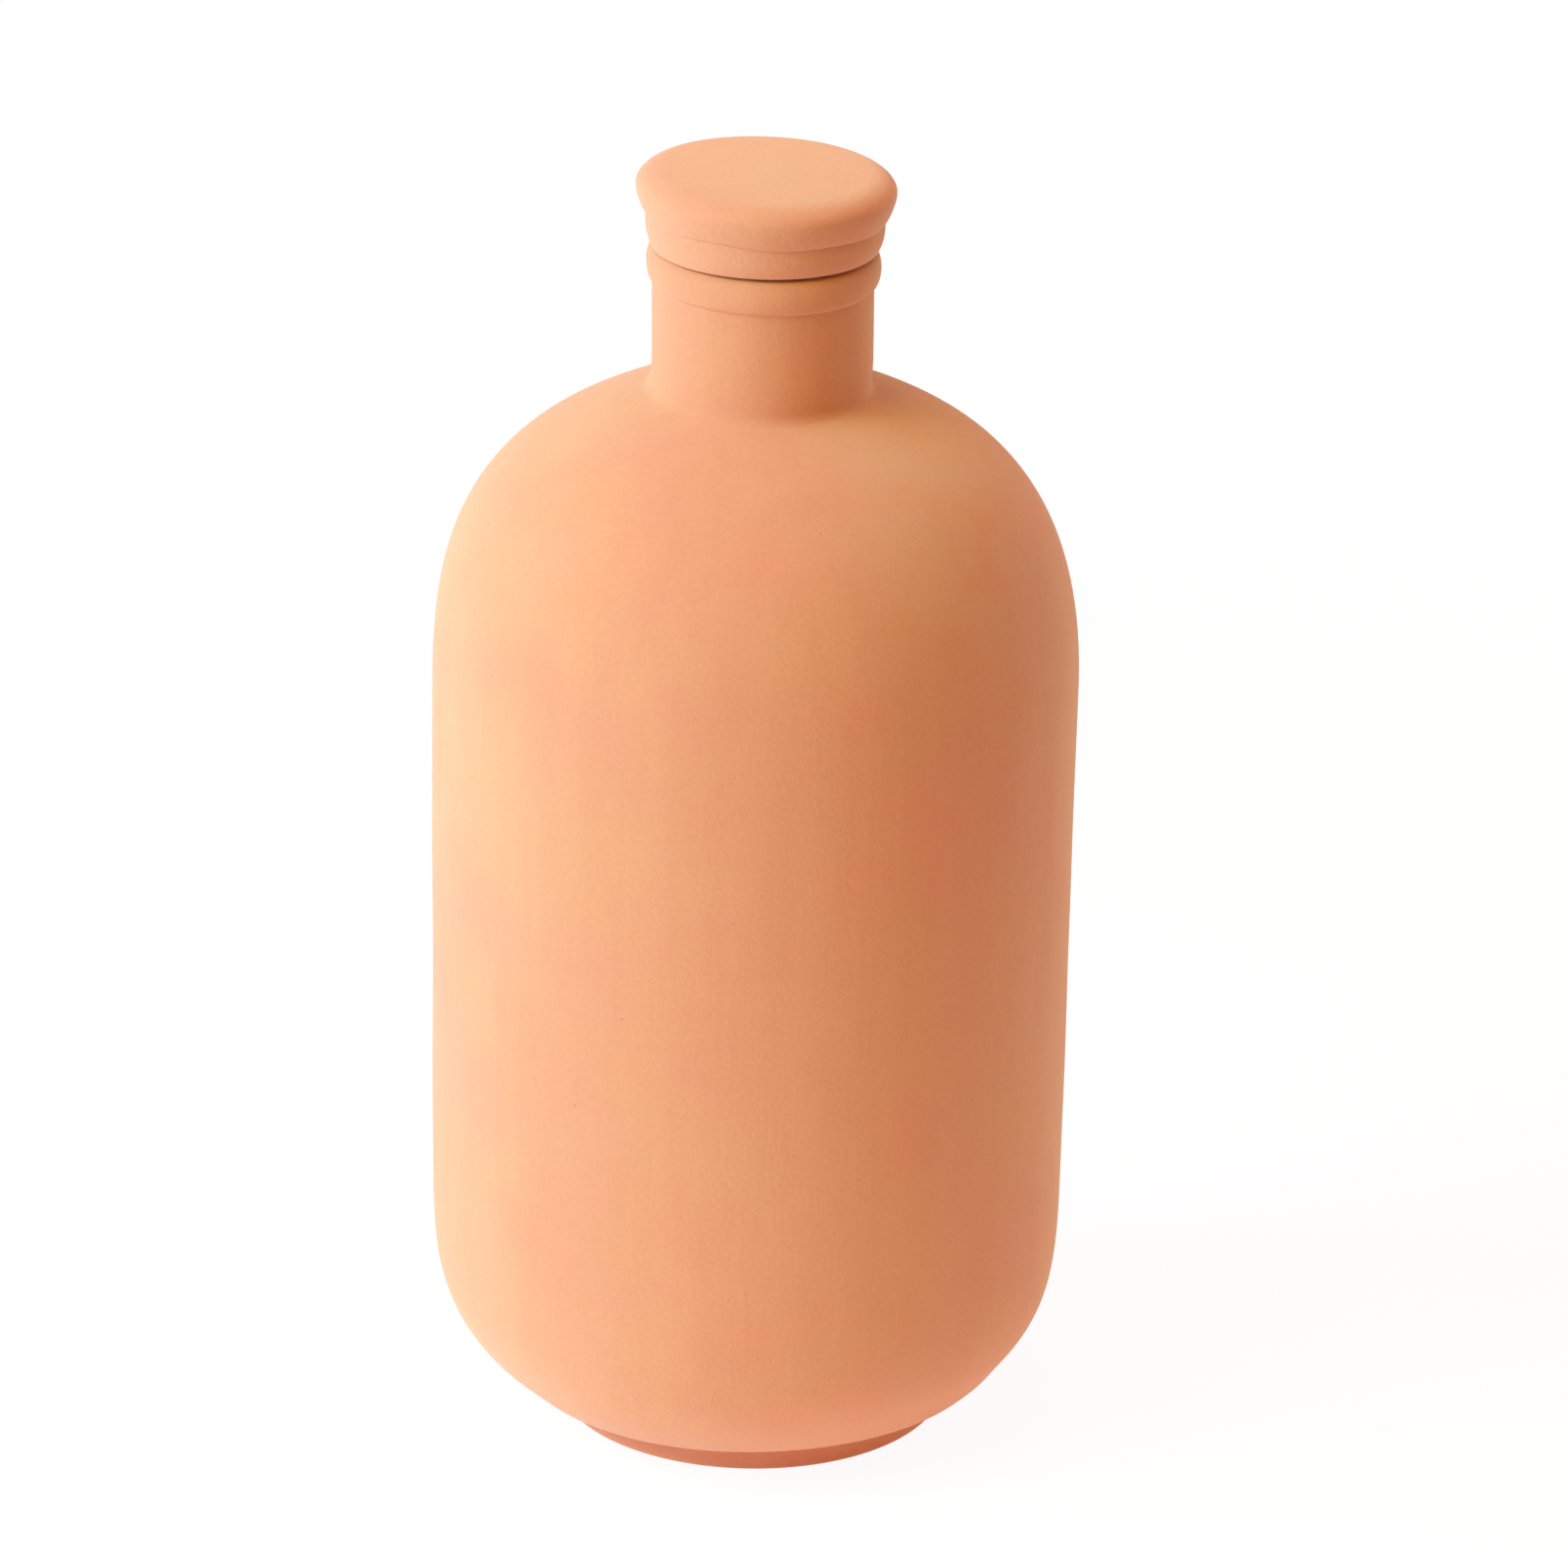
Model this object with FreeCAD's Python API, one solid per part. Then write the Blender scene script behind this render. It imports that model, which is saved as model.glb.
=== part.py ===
# An irrigation olla: a porous terracotta bottle that is buried up to its neck, and its loose plug lid.
# Both are turned about Z. Millimetres and degrees, +Z up, origin at the centre of the foot's underside.
import FreeCAD
import Part

import math
import os

# Bottle, outside: foot, base curve, straight wall, shoulder and neck stand on each other in that order
FOOT_RADIUS = 48.5
FOOT_HEIGHT = 9.2
BASE_EDGE_RADIUS = 58.3  # the crisp trimmed edge that overhangs the foot
BASE_EDGE_RISE = 33.6  # slope at which the base curve leaves that edge
BASE_HEIGHT = 50.8
BODY_RADIUS = 80.0  # at the top of the wall, where the bottle is widest
WALL_TAPER = 0.6  # how much smaller the radius is at the bottom of the wall
WALL_HEIGHT = 137.0
SHOULDER_HEIGHT = 73.7
SHOULDER_FALL = 18.7  # slope of the shoulder where it meets the neck
NECK_RADIUS = 27.3
NECK_HEIGHT = 37.3  # from the shoulder to the rim, bead included

# Bead rolled round the rim
BEAD_HEIGHT = 9.7
BEAD_BELLY_DROP = 4.6  # from the rim down to where the bead is widest
BEAD_PROUD = 1.4
RIM_PROUD = 0.8

# How far each curve keeps its end directions, as a part of its chord
BASE_REACH = 0.449
WALL_BOTTOM_REACH = 0.339
WALL_TOP_REACH = 0.571
SHOULDER_REACH = 0.325
FLOOR_REACH = 0.39

# Bottle, inside and underneath
WALL = 7.0
NECK_WALL = 6.3
FLOOR = 8.0
FOOT_RING_WIDTH = 9.0
RECESS_DEPTH = 2.0
RECESS_FLARE = 1.5  # how much wider the recess is at its mouth

# Lid: collar, disc with a leaning flank, a chamfer and a low dome above the rim, hollow plug below it
COLLAR_FOOT_RADIUS = 28.4
COLLAR_BELLY_RADIUS = 29.25
COLLAR_BELLY_HEIGHT = 4.8
COLLAR_TOP_RADIUS = 29.75
COLLAR_HEIGHT = 9.0
LEDGE_WIDTH = 0.7  # how far the disc overhangs the collar
LEDGE_RISE = 0.5
FLANK_HEIGHT = 5.7
DISC_CORNER_RADIUS = 32.4  # between flank and chamfer, before the rounding that leaves the disc 31.8
CHAMFER_HEIGHT = 3.25
TOP_EDGE_RADIUS = 28.75  # where the chamfer ends and the dome starts
DOME_RISE = 0.6
LID_THICKNESS = 9.0  # clay above the plug's hollow
PLUG_LENGTH = 20.0
PLUG_CLEARANCE = 1.2  # round the plug, in the neck
PLUG_TAPER = 0.5
PLUG_WALL = 7.0

# Roundings
NECK_ROOT_ROUNDING = 3.0
BORE_ROOT_ROUNDING = 4.0
RIM_ROUNDING = 1.5
BASE_EDGE_ROUNDING = 0.5
FOOT_ROOT_ROUNDING = 1.5
FOOT_ROUNDING = 0.8
COLLAR_ROUNDING = 0.4
LIP_ROUNDING = 0.3
DISC_ROUNDING = 3.2
TOP_EDGE_ROUNDING = 1.9
PLUG_ROOT_ROUNDING = 1.0
PLUG_TIP_ROUNDING = 1.5
HOLLOW_ROUNDING = 4.0

# Heights and radii that follow
base_top = FOOT_HEIGHT + BASE_HEIGHT
wall_top = base_top + WALL_HEIGHT
shoulder_top = wall_top + SHOULDER_HEIGHT
rim_height = shoulder_top + NECK_HEIGHT
wall_bottom_radius = BODY_RADIUS - WALL_TAPER
wall_lean = math.degrees(math.atan2(WALL_HEIGHT, WALL_TAPER))
bore_radius = NECK_RADIUS - NECK_WALL
floor_height = RECESS_DEPTH + FLOOR
recess_radius = FOOT_RADIUS - FOOT_RING_WIDTH
floor_radius = recess_radius - WALL
plug_radius = bore_radius - PLUG_CLEARANCE


class HalfSection:
    """The right half of a turned piece's section, drawn from point to point as radius and height."""

    def __init__(self, radius, height):
        self.start = FreeCAD.Vector(radius, 0, height)
        self.end = self.start
        self.edges = []

    def _add(self, curve, end):
        self.edges.append(curve.toShape())
        self.end = end

    def line(self, radius, height):
        end = FreeCAD.Vector(radius, 0, height)
        self._add(Part.LineSegment(self.end, end), end)

    def arc(self, through, end):
        """A circular arc through one point to its end."""
        through = FreeCAD.Vector(through[0], 0, through[1])
        end = FreeCAD.Vector(end[0], 0, end[1])
        self._add(Part.Arc(self.end, through, end), end)

    def bend(self, corner, end):
        """A curve that turns once, towards the corner given."""
        corner = FreeCAD.Vector(corner[0], 0, corner[1])
        end = FreeCAD.Vector(end[0], 0, end[1])
        curve = Part.BezierCurve()
        curve.setPoles([self.end, corner, end])
        self._add(curve, end)

    def sweep(self, leaves, leave_reach, end, arrives, arrive_reach):
        """A free curve with the direction at each end given as a slope, and held for a part of the chord."""
        end = FreeCAD.Vector(end[0], 0, end[1])
        chord = self.end.distanceToPoint(end)
        curve = Part.BezierCurve()
        curve.setPoles([
            self.end,
            self.end + heading(leaves) * (chord * leave_reach),
            end - heading(arrives) * (chord * arrive_reach),
            end,
        ])
        self._add(curve, end)

    def turned(self):
        """Closes the section and turns it about Z."""
        self.line(self.start.x, self.start.z)
        face = Part.Face(Part.Wire(self.edges))
        return face.revolve(FreeCAD.Vector(0, 0, 0), FreeCAD.Vector(0, 0, 1), 360)


def heading(slope):
    """A unit vector in the section's plane, outwards and up by the slope given."""
    angle = math.radians(slope)
    return FreeCAD.Vector(math.cos(angle), 0, math.sin(angle))


def rounded(solid, rounding, *rings):
    """Rounds the circular edges that lie at the radii and heights given."""
    edges = [
        edge
        for edge in solid.Edges
        for radius, height in rings
        if not edge.Degenerated
        and isinstance(edge.Curve, Part.Circle)
        and math.isclose(edge.Curve.Radius, radius, abs_tol=1e-4)
        and math.isclose(edge.Curve.Center.z, height, abs_tol=1e-4)
    ]
    return solid.makeFillet(rounding, edges).Solids[0]


def inner_shoulder_top():
    """Height at which the underside of the shoulder meets the bore, one wall below the outside."""
    slope = math.radians(SHOULDER_FALL)
    return shoulder_top + NECK_WALL * math.tan(slope) - WALL / math.cos(slope)


def make_bottle():
    """Bottle with foot ring, even wall, open neck and a bead at the rim, in one piece."""
    bore_bottom = inner_shoulder_top()
    recess_mouth = recess_radius + RECESS_FLARE
    bead_bottom = rim_height - BEAD_HEIGHT
    rim_radius = NECK_RADIUS + RIM_PROUD

    section = HalfSection(0, RECESS_DEPTH)
    section.line(recess_radius, RECESS_DEPTH)
    section.line(recess_mouth, 0)
    section.line(FOOT_RADIUS, 0)
    section.line(FOOT_RADIUS, FOOT_HEIGHT)
    section.line(BASE_EDGE_RADIUS, FOOT_HEIGHT)
    section.sweep(
        BASE_EDGE_RISE, BASE_REACH, (wall_bottom_radius, base_top), wall_lean, WALL_BOTTOM_REACH
    )
    section.line(BODY_RADIUS, wall_top)
    section.sweep(
        wall_lean, WALL_TOP_REACH, (NECK_RADIUS, shoulder_top), 180 - SHOULDER_FALL, SHOULDER_REACH
    )
    section.line(NECK_RADIUS, bead_bottom)
    section.arc((NECK_RADIUS + BEAD_PROUD, rim_height - BEAD_BELLY_DROP), (rim_radius, rim_height))
    section.line(bore_radius, rim_height)
    section.line(bore_radius, bore_bottom)
    section.sweep(
        -SHOULDER_FALL, SHOULDER_REACH, (BODY_RADIUS - WALL, wall_top), wall_lean - 180, WALL_TOP_REACH
    )
    section.line(wall_bottom_radius - WALL, base_top)
    section.sweep(wall_lean - 180, FLOOR_REACH, (floor_radius, floor_height), 180, FLOOR_REACH)
    section.line(0, floor_height)

    bottle = section.turned()
    bottle = rounded(bottle, NECK_ROOT_ROUNDING, (NECK_RADIUS, shoulder_top))
    bottle = rounded(bottle, BORE_ROOT_ROUNDING, (bore_radius, bore_bottom))
    bottle = rounded(bottle, RIM_ROUNDING, (rim_radius, rim_height), (bore_radius, rim_height))
    bottle = rounded(bottle, BASE_EDGE_ROUNDING, (BASE_EDGE_RADIUS, FOOT_HEIGHT))
    bottle = rounded(bottle, FOOT_ROOT_ROUNDING, (FOOT_RADIUS, FOOT_HEIGHT))
    return rounded(bottle, FOOT_ROUNDING, (FOOT_RADIUS, 0), (recess_mouth, 0))


def make_lid():
    """Lid whose collar stands on the rim and whose hollow plug hangs in the neck, in one piece."""
    collar_top = rim_height + COLLAR_HEIGHT
    lip_radius = COLLAR_TOP_RADIUS + LEDGE_WIDTH
    lip_height = collar_top + LEDGE_RISE
    corner_height = lip_height + FLANK_HEIGHT
    top_edge_height = corner_height + CHAMFER_HEIGHT
    lid_top = top_edge_height + DOME_RISE
    plug_bottom = rim_height - PLUG_LENGTH
    plug_tip_radius = plug_radius - PLUG_TAPER
    hollow_radius = plug_radius - PLUG_WALL
    hollow_top = lid_top - LID_THICKNESS

    section = HalfSection(0, hollow_top)
    section.line(hollow_radius, hollow_top)
    section.line(hollow_radius, plug_bottom)
    section.line(plug_tip_radius, plug_bottom)
    section.line(plug_radius, rim_height)
    section.line(COLLAR_FOOT_RADIUS, rim_height)
    section.arc(
        (COLLAR_BELLY_RADIUS, rim_height + COLLAR_BELLY_HEIGHT), (COLLAR_TOP_RADIUS, collar_top)
    )
    section.line(lip_radius, lip_height)
    section.line(DISC_CORNER_RADIUS, corner_height)
    section.line(TOP_EDGE_RADIUS, top_edge_height)
    section.bend((TOP_EDGE_RADIUS / 2, lid_top), (0, lid_top))

    lid = section.turned()
    lid = rounded(lid, HOLLOW_ROUNDING, (hollow_radius, hollow_top))
    lid = rounded(lid, PLUG_TIP_ROUNDING, (hollow_radius, plug_bottom), (plug_tip_radius, plug_bottom))
    lid = rounded(lid, PLUG_ROOT_ROUNDING, (plug_radius, rim_height))
    lid = rounded(lid, COLLAR_ROUNDING, (COLLAR_FOOT_RADIUS, rim_height))
    lid = rounded(lid, LIP_ROUNDING, (lip_radius, lip_height))
    lid = rounded(lid, DISC_ROUNDING, (DISC_CORNER_RADIUS, corner_height))
    return rounded(lid, TOP_EDGE_ROUNDING, (TOP_EDGE_RADIUS, top_edge_height))


os.makedirs("parts", exist_ok=True)
make_bottle().exportStep("parts/bottle.step")
make_lid().exportStep("parts/lid.step")
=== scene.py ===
"""An irrigation olla of unglazed terracotta: a turned bottle and its loose plug lid.

Lengths are in metres and slopes in degrees. +Z is up, the foot stands on Z = 0 and -Y faces the
camera. An azimuth round the olla is 0 towards the camera and grows towards +X, its right side.
"""
import logging
import math
from collections.abc import Callable
from dataclasses import dataclass
from enum import Enum

import bmesh
import bpy
from mathutils import Matrix, Vector, noise
from mathutils.geometry import interpolate_bezier


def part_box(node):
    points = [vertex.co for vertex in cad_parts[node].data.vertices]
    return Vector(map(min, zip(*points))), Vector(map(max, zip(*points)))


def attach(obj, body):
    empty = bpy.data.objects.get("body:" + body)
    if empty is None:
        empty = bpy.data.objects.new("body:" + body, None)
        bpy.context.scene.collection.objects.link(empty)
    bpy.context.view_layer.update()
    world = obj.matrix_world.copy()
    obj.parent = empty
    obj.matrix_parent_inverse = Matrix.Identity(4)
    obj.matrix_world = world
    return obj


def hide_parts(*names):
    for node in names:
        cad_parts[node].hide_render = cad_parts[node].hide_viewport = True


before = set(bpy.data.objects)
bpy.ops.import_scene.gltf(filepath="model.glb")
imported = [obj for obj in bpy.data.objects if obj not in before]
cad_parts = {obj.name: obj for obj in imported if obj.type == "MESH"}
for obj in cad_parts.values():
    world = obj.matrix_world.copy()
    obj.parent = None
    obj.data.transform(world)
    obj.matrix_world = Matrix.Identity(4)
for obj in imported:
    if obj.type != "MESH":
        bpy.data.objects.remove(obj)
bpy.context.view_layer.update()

Shell = bmesh.types.BMesh
Socket = bpy.types.NodeSocket
Colour = tuple[float, float, float, float]

log = logging.getLogger("olla")

WELD = 1e-6
SPIN_STEPS = 256
SHARP_FROM = 35.0
FLOOR_SEGMENTS = 128
RIM_DROP = 0.0004  # how far the fired rim lies below the solid's

# How near a bend's handles lie to its corner
QUARTER_ELLIPSE = 4 / 3 * (math.sqrt(2) - 1)
SLIGHT_BEND = 2 / 3


class ClaySlot(Enum):
    """The record's material slots."""

    BOTTLE = "bottle_clay"
    LID = "lid_clay"


def heading(slope: float) -> Vector:
    """Returns a unit vector in the section's plane, outwards and up by a slope in degrees."""
    angle = math.radians(slope)
    return Vector((math.cos(angle), 0, math.sin(angle)))


def smooth(low: float, high: float, value: float) -> float:
    """Returns a smooth rise from 0 at the low value to 1 at the high one.

    Args:
        low: Value at and before which the result is 0.
        high: Value at and after which the result is 1.
        value: The value to place between them.

    Returns:
        The rise, from 0 to 1.
    """
    share = min(1.0, max(0.0, (value - low) / (high - low)))
    return share * share * (3 - 2 * share)


@dataclass
class Stretch:
    """One stretch of a turned section: a cubic curve with a handle for each end.

    Attributes:
        start: Where it starts.
        leave: The handle that gives its direction at the start.
        arrive: The handle that gives its direction at the end.
        end: Where it ends.
        spacing: Distance between the points that are put on it.
        rounding: Radius of the corner between it and the next stretch.
    """

    start: Vector
    leave: Vector
    arrive: Vector
    end: Vector
    spacing: float
    rounding: float = 0.0

    def points(self) -> list[Vector]:
        """Returns the points on it, its start and its end included."""
        steps = max(2, math.ceil((self.end - self.start).length / self.spacing))
        return interpolate_bezier(self.start, self.leave, self.arrive, self.end, steps + 1)

    def _split(self, share: float) -> tuple[Vector, Vector, Vector, Vector, Vector]:
        """Finds where it would be cut in two.

        Args:
            share: How far along it the cut lies, from 0 to 1.

        Returns:
            Two handles, the point of the cut and two more handles, in order along it.
        """
        first = self.start.lerp(self.leave, share)
        middle = self.leave.lerp(self.arrive, share)
        last = self.arrive.lerp(self.end, share)
        before = first.lerp(middle, share)
        after = middle.lerp(last, share)
        return first, before, before.lerp(after, share), after, last

    def cut_end(self, length: float) -> None:
        """Takes a short length off its end."""
        share = 1 - length / (3 * (self.end - self.arrive).length)
        self.leave, self.arrive, self.end = self._split(share)[:3]

    def cut_start(self, length: float) -> None:
        """Takes a short length off its start."""
        share = length / (3 * (self.leave - self.start).length)
        self.start, self.leave, self.arrive = self._split(share)[2:]


class TurnedSection:
    """Half of a turned piece's section, drawn in the XZ plane from point to point."""

    ROUNDING_STEPS = 5

    def __init__(self, radius: float, height: float, spacing: float) -> None:
        """Puts the pen down.

        Args:
            radius: Radius of the first point.
            height: Height of the first point.
            spacing: Distance between the points that are put on the next stretches.
        """
        self.pen = Vector((radius, 0, height))
        self.spacing = spacing
        self.stretches: list[Stretch] = []

    def _draw(self, leave: Vector, arrive: Vector, end: Vector, rounding: float) -> None:
        """Adds a stretch from the pen and moves the pen to its end."""
        self.stretches.append(Stretch(self.pen, leave, arrive, end, self.spacing, rounding))
        self.pen = end

    def line(self, radius: float, height: float, rounding: float = 0.0) -> None:
        """Draws a straight run.

        Args:
            radius: Radius at its end.
            height: Height at its end.
            rounding: Radius of the corner at its end.
        """
        end = Vector((radius, 0, height))
        self._draw(self.pen.lerp(end, 1 / 3), self.pen.lerp(end, 2 / 3), end, rounding)

    def sweep(
        self,
        leaves: float,
        leave_reach: float,
        end: tuple[float, float],
        arrives: float,
        arrive_reach: float,
        rounding: float = 0.0,
    ) -> None:
        """Draws a free curve with a given direction at each end.

        Args:
            leaves: Slope at its start.
            leave_reach: How far that slope is held, as a part of the chord.
            end: Radius and height at its end.
            arrives: Slope at its end.
            arrive_reach: How far that slope is held, as a part of the chord.
            rounding: Radius of the corner at its end.
        """
        goal = Vector((end[0], 0, end[1]))
        chord = (goal - self.pen).length
        leave = self.pen + heading(leaves) * (chord * leave_reach)
        arrive = goal - heading(arrives) * (chord * arrive_reach)
        self._draw(leave, arrive, goal, rounding)

    def bend(self, corner: tuple[float, float], end: tuple[float, float], fullness: float) -> None:
        """Draws a curve that turns once, towards a corner.

        Args:
            corner: Radius and height of the corner that it turns towards.
            end: Radius and height at its end.
            fullness: How near its handles lie to the corner, from 0 to 1.
        """
        turn = Vector((corner[0], 0, corner[1]))
        goal = Vector((end[0], 0, end[1]))
        self._draw(self.pen.lerp(turn, fullness), goal.lerp(turn, fullness), goal, 0.0)

    def bulge(
        self, proud: float, at: float, end: tuple[float, float], rounding: float = 0.0
    ) -> None:
        """Draws a shallow swelling between two heights.

        Args:
            proud: How far it swells beyond the straight run.
            at: How far up the run it swells most, from 0 to 1.
            end: Radius and height at its end.
            rounding: Radius of the corner at its end.
        """
        goal = Vector((end[0], 0, end[1]))
        outwards = Vector((proud * 4 / 3, 0, 0))
        leave = self.pen.lerp(goal, at * 2 / 3) + outwards
        arrive = self.pen.lerp(goal, 1 - (1 - at) * 2 / 3) + outwards
        self._draw(leave, arrive, goal, rounding)

    def _rounded(self) -> list[Stretch]:
        """Rounds the corners.

        Returns:
            The stretches, cut back at their rounded corners, with a curve in each corner.
        """
        drawn: list[Stretch] = []
        for stretch, follower in zip(self.stretches, self.stretches[1:] + [None]):
            drawn.append(stretch)
            if not (follower and stretch.rounding):
                continue
            incoming = (stretch.end - stretch.arrive).normalized()
            outgoing = (follower.leave - follower.start).normalized()
            turn = incoming.angle(outgoing)
            cut = stretch.rounding * math.tan(turn / 2)
            handle = stretch.rounding * math.tan(turn / 4) * 4 / 3
            stretch.cut_end(cut)
            follower.cut_start(cut)
            incoming = (stretch.end - stretch.arrive).normalized()
            outgoing = (follower.leave - follower.start).normalized()
            drawn.append(
                Stretch(
                    stretch.end,
                    stretch.end + incoming * handle,
                    follower.start - outgoing * handle,
                    follower.start,
                    (follower.start - stretch.end).length / self.ROUNDING_STEPS,
                )
            )
        return drawn

    def turned(self) -> Shell:
        """Spins the section about Z.

        Returns:
            A closed shell whose normals point outwards.
        """
        points = [self.stretches[0].start]
        for stretch in self._rounded():
            points.extend(stretch.points()[1:])
        shell = bmesh.new()
        chain = [shell.verts.new(point) for point in points]
        edges = [shell.edges.new(pair) for pair in zip(chain, chain[1:])]
        bmesh.ops.spin(
            shell,
            geom=chain + edges,
            cent=(0, 0, 0),
            axis=(0, 0, 1),
            angle=math.tau,
            steps=SPIN_STEPS,
            use_merge=True,
        )
        bmesh.ops.remove_doubles(shell, verts=shell.verts, dist=WELD)
        bmesh.ops.recalc_face_normals(shell, faces=shell.faces)
        return shell


@dataclass(frozen=True)
class Wave:
    """One slow wave of unevenness round a piece shaped by hand.

    Attributes:
        lobes: How many times it rises on the way round.
        size: How far it rises.
        turn: Azimuth at which it is highest, in degrees.
    """

    lobes: int
    size: float
    turn: float

    def at(self, azimuth: float) -> float:
        """Returns its height at an azimuth in radians."""
        return self.size * math.cos(self.lobes * (azimuth - math.radians(self.turn)))


Waves = tuple[Wave, ...]


def uneven(waves: Waves, azimuth: float) -> float:
    """Returns the sum of some waves at an azimuth in radians."""
    return sum(wave.at(azimuth) for wave in waves)


def shaped_by_hand(shell: Shell, move: Callable[[Vector, float, float], Vector]) -> None:
    """Moves each point of a turned shell as a hand would have left it.

    Args:
        shell: The shell to shape.
        move: Gives the shift of a point from its place, its radius and its azimuth in radians.
    """
    for vert in shell.verts:
        radius = vert.co.to_2d().length
        azimuth = math.atan2(vert.co.x, -vert.co.y)
        vert.co += move(vert.co, radius, azimuth)


def outward(azimuth: float) -> Vector:
    """Returns the level unit vector that points away from the axis at an azimuth in radians."""
    return Vector((math.sin(azimuth), -math.cos(azimuth), 0))


def as_object(shell: Shell, name: str, material: bpy.types.Material) -> bpy.types.Object:
    """Makes an object of a finished shell.

    Args:
        shell: The shell, which is freed.
        name: The object's name.
        material: Its material.

    Returns:
        The object, linked to the scene, at the origin and shaded smooth up to its sharp edges.
    """
    mesh = bpy.data.meshes.new(name)
    shell.to_mesh(mesh)
    shell.free()
    mesh.polygons.foreach_set("use_smooth", [True] * len(mesh.polygons))
    mesh.set_sharp_from_angle(angle=math.radians(SHARP_FROM))
    mesh.materials.append(material)
    made = bpy.data.objects.new(name, mesh)
    bpy.context.scene.collection.objects.link(made)
    return made


class NodeSheet:
    """A node tree with short calls to add and join nodes."""

    # Where a Mix node has its sockets for colours
    MIX_SHARE, MIX_BASE, MIX_OTHER = 0, 6, 7
    MIX_RESULT = 2

    def __init__(self, tree: bpy.types.NodeTree) -> None:
        """Keeps the tree."""
        self.tree = tree

    def add(self, kind: str, **settings: object) -> bpy.types.Node:
        """Adds a node.

        Args:
            kind: The node's type name.
            **settings: Its properties.

        Returns:
            The node.
        """
        node = self.tree.nodes.new(kind)
        for name, value in settings.items():
            setattr(node, name, value)
        return node

    def join(self, source: Socket | float | tuple, target: Socket) -> None:
        """Links a socket to another, or sets a plain value there.

        Args:
            source: An output socket, or the value.
            target: The input socket.
        """
        if isinstance(source, Socket):
            self.tree.links.new(source, target)
        else:
            target.default_value = source

    def noise(
        self, place: Socket, scale: float | Socket, detail: float, roughness: float
    ) -> Socket:
        """Adds a noise texture.

        Args:
            place: Where it is read.
            scale: How many features there are in a metre.
            detail: How many finer layers it has.
            roughness: How strong those are.

        Returns:
            Its value.
        """
        node = self.add("ShaderNodeTexNoise")
        self.join(place, node.inputs["Vector"])
        self.join(scale, node.inputs["Scale"])
        node.inputs["Detail"].default_value = detail
        node.inputs["Roughness"].default_value = roughness
        return node.outputs["Fac"]

    def spread(
        self, value: Socket, source: tuple[float, float], target: tuple[float, float] = (0.0, 1.0)
    ) -> Socket:
        """Adds a smooth map from one range to another.

        Args:
            value: The value to map.
            source: The range that it comes from.
            target: The range that it goes to.

        Returns:
            The mapped value.
        """
        node = self.add("ShaderNodeMapRange", interpolation_type="SMOOTHSTEP")
        self.join(value, node.inputs["Value"])
        node.inputs["From Min"].default_value, node.inputs["From Max"].default_value = source
        node.inputs["To Min"].default_value, node.inputs["To Max"].default_value = target
        return node.outputs["Result"]

    def calculate(self, operation: str, *values: Socket | float) -> Socket:
        """Adds a Math node.

        Args:
            operation: Its operation.
            *values: What it works on.

        Returns:
            Its result.
        """
        node = self.add("ShaderNodeMath", operation=operation)
        for value, socket in zip(values, node.inputs):
            self.join(value, socket)
        return node.outputs["Value"]

    def tint(
        self, share: Socket | float, base: Socket | tuple, other: Socket | tuple
    ) -> Socket:
        """Adds a mix of two colours.

        Args:
            share: How much of the second colour there is.
            base: The first colour.
            other: The second colour.

        Returns:
            The mixed colour.
        """
        node = self.add("ShaderNodeMix", data_type="RGBA")
        self.join(share, node.inputs[self.MIX_SHARE])
        self.join(base, node.inputs[self.MIX_BASE])
        self.join(other, node.inputs[self.MIX_OTHER])
        return node.outputs[self.MIX_RESULT]

    def group(self, group: bpy.types.NodeTree, **values: object) -> bpy.types.Node:
        """Places a node group.

        Args:
            group: The group.
            **values: A value or a socket for its inputs, by name.

        Returns:
            The group's node.
        """
        node = self.add("ShaderNodeGroup", node_tree=group)
        for name, value in values.items():
            self.join(value, node.inputs[name])
        return node


def new_group(
    name: str, inputs: dict[str, float | None], outputs: tuple[str, ...]
) -> tuple[NodeSheet, bpy.types.Node, bpy.types.Node]:
    """Makes an empty shader node group.

    Args:
        name: The group's name.
        inputs: Its inputs, each with its value, or None for a place.
        outputs: Its outputs, all plain values.

    Returns:
        The sheet to draw on, the node with the inputs and the node with the outputs.
    """
    tree = bpy.data.node_groups.new(name, "ShaderNodeTree")
    for label, value in inputs.items():
        kind = "NodeSocketVector" if value is None else "NodeSocketFloat"
        socket = tree.interface.new_socket(label, in_out="INPUT", socket_type=kind)
        if value is not None:
            socket.default_value = value
    for label in outputs:
        tree.interface.new_socket(label, in_out="OUTPUT", socket_type="NodeSocketFloat")
    sheet = NodeSheet(tree)
    return sheet, sheet.add("NodeGroupInput"), sheet.add("NodeGroupOutput")


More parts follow.
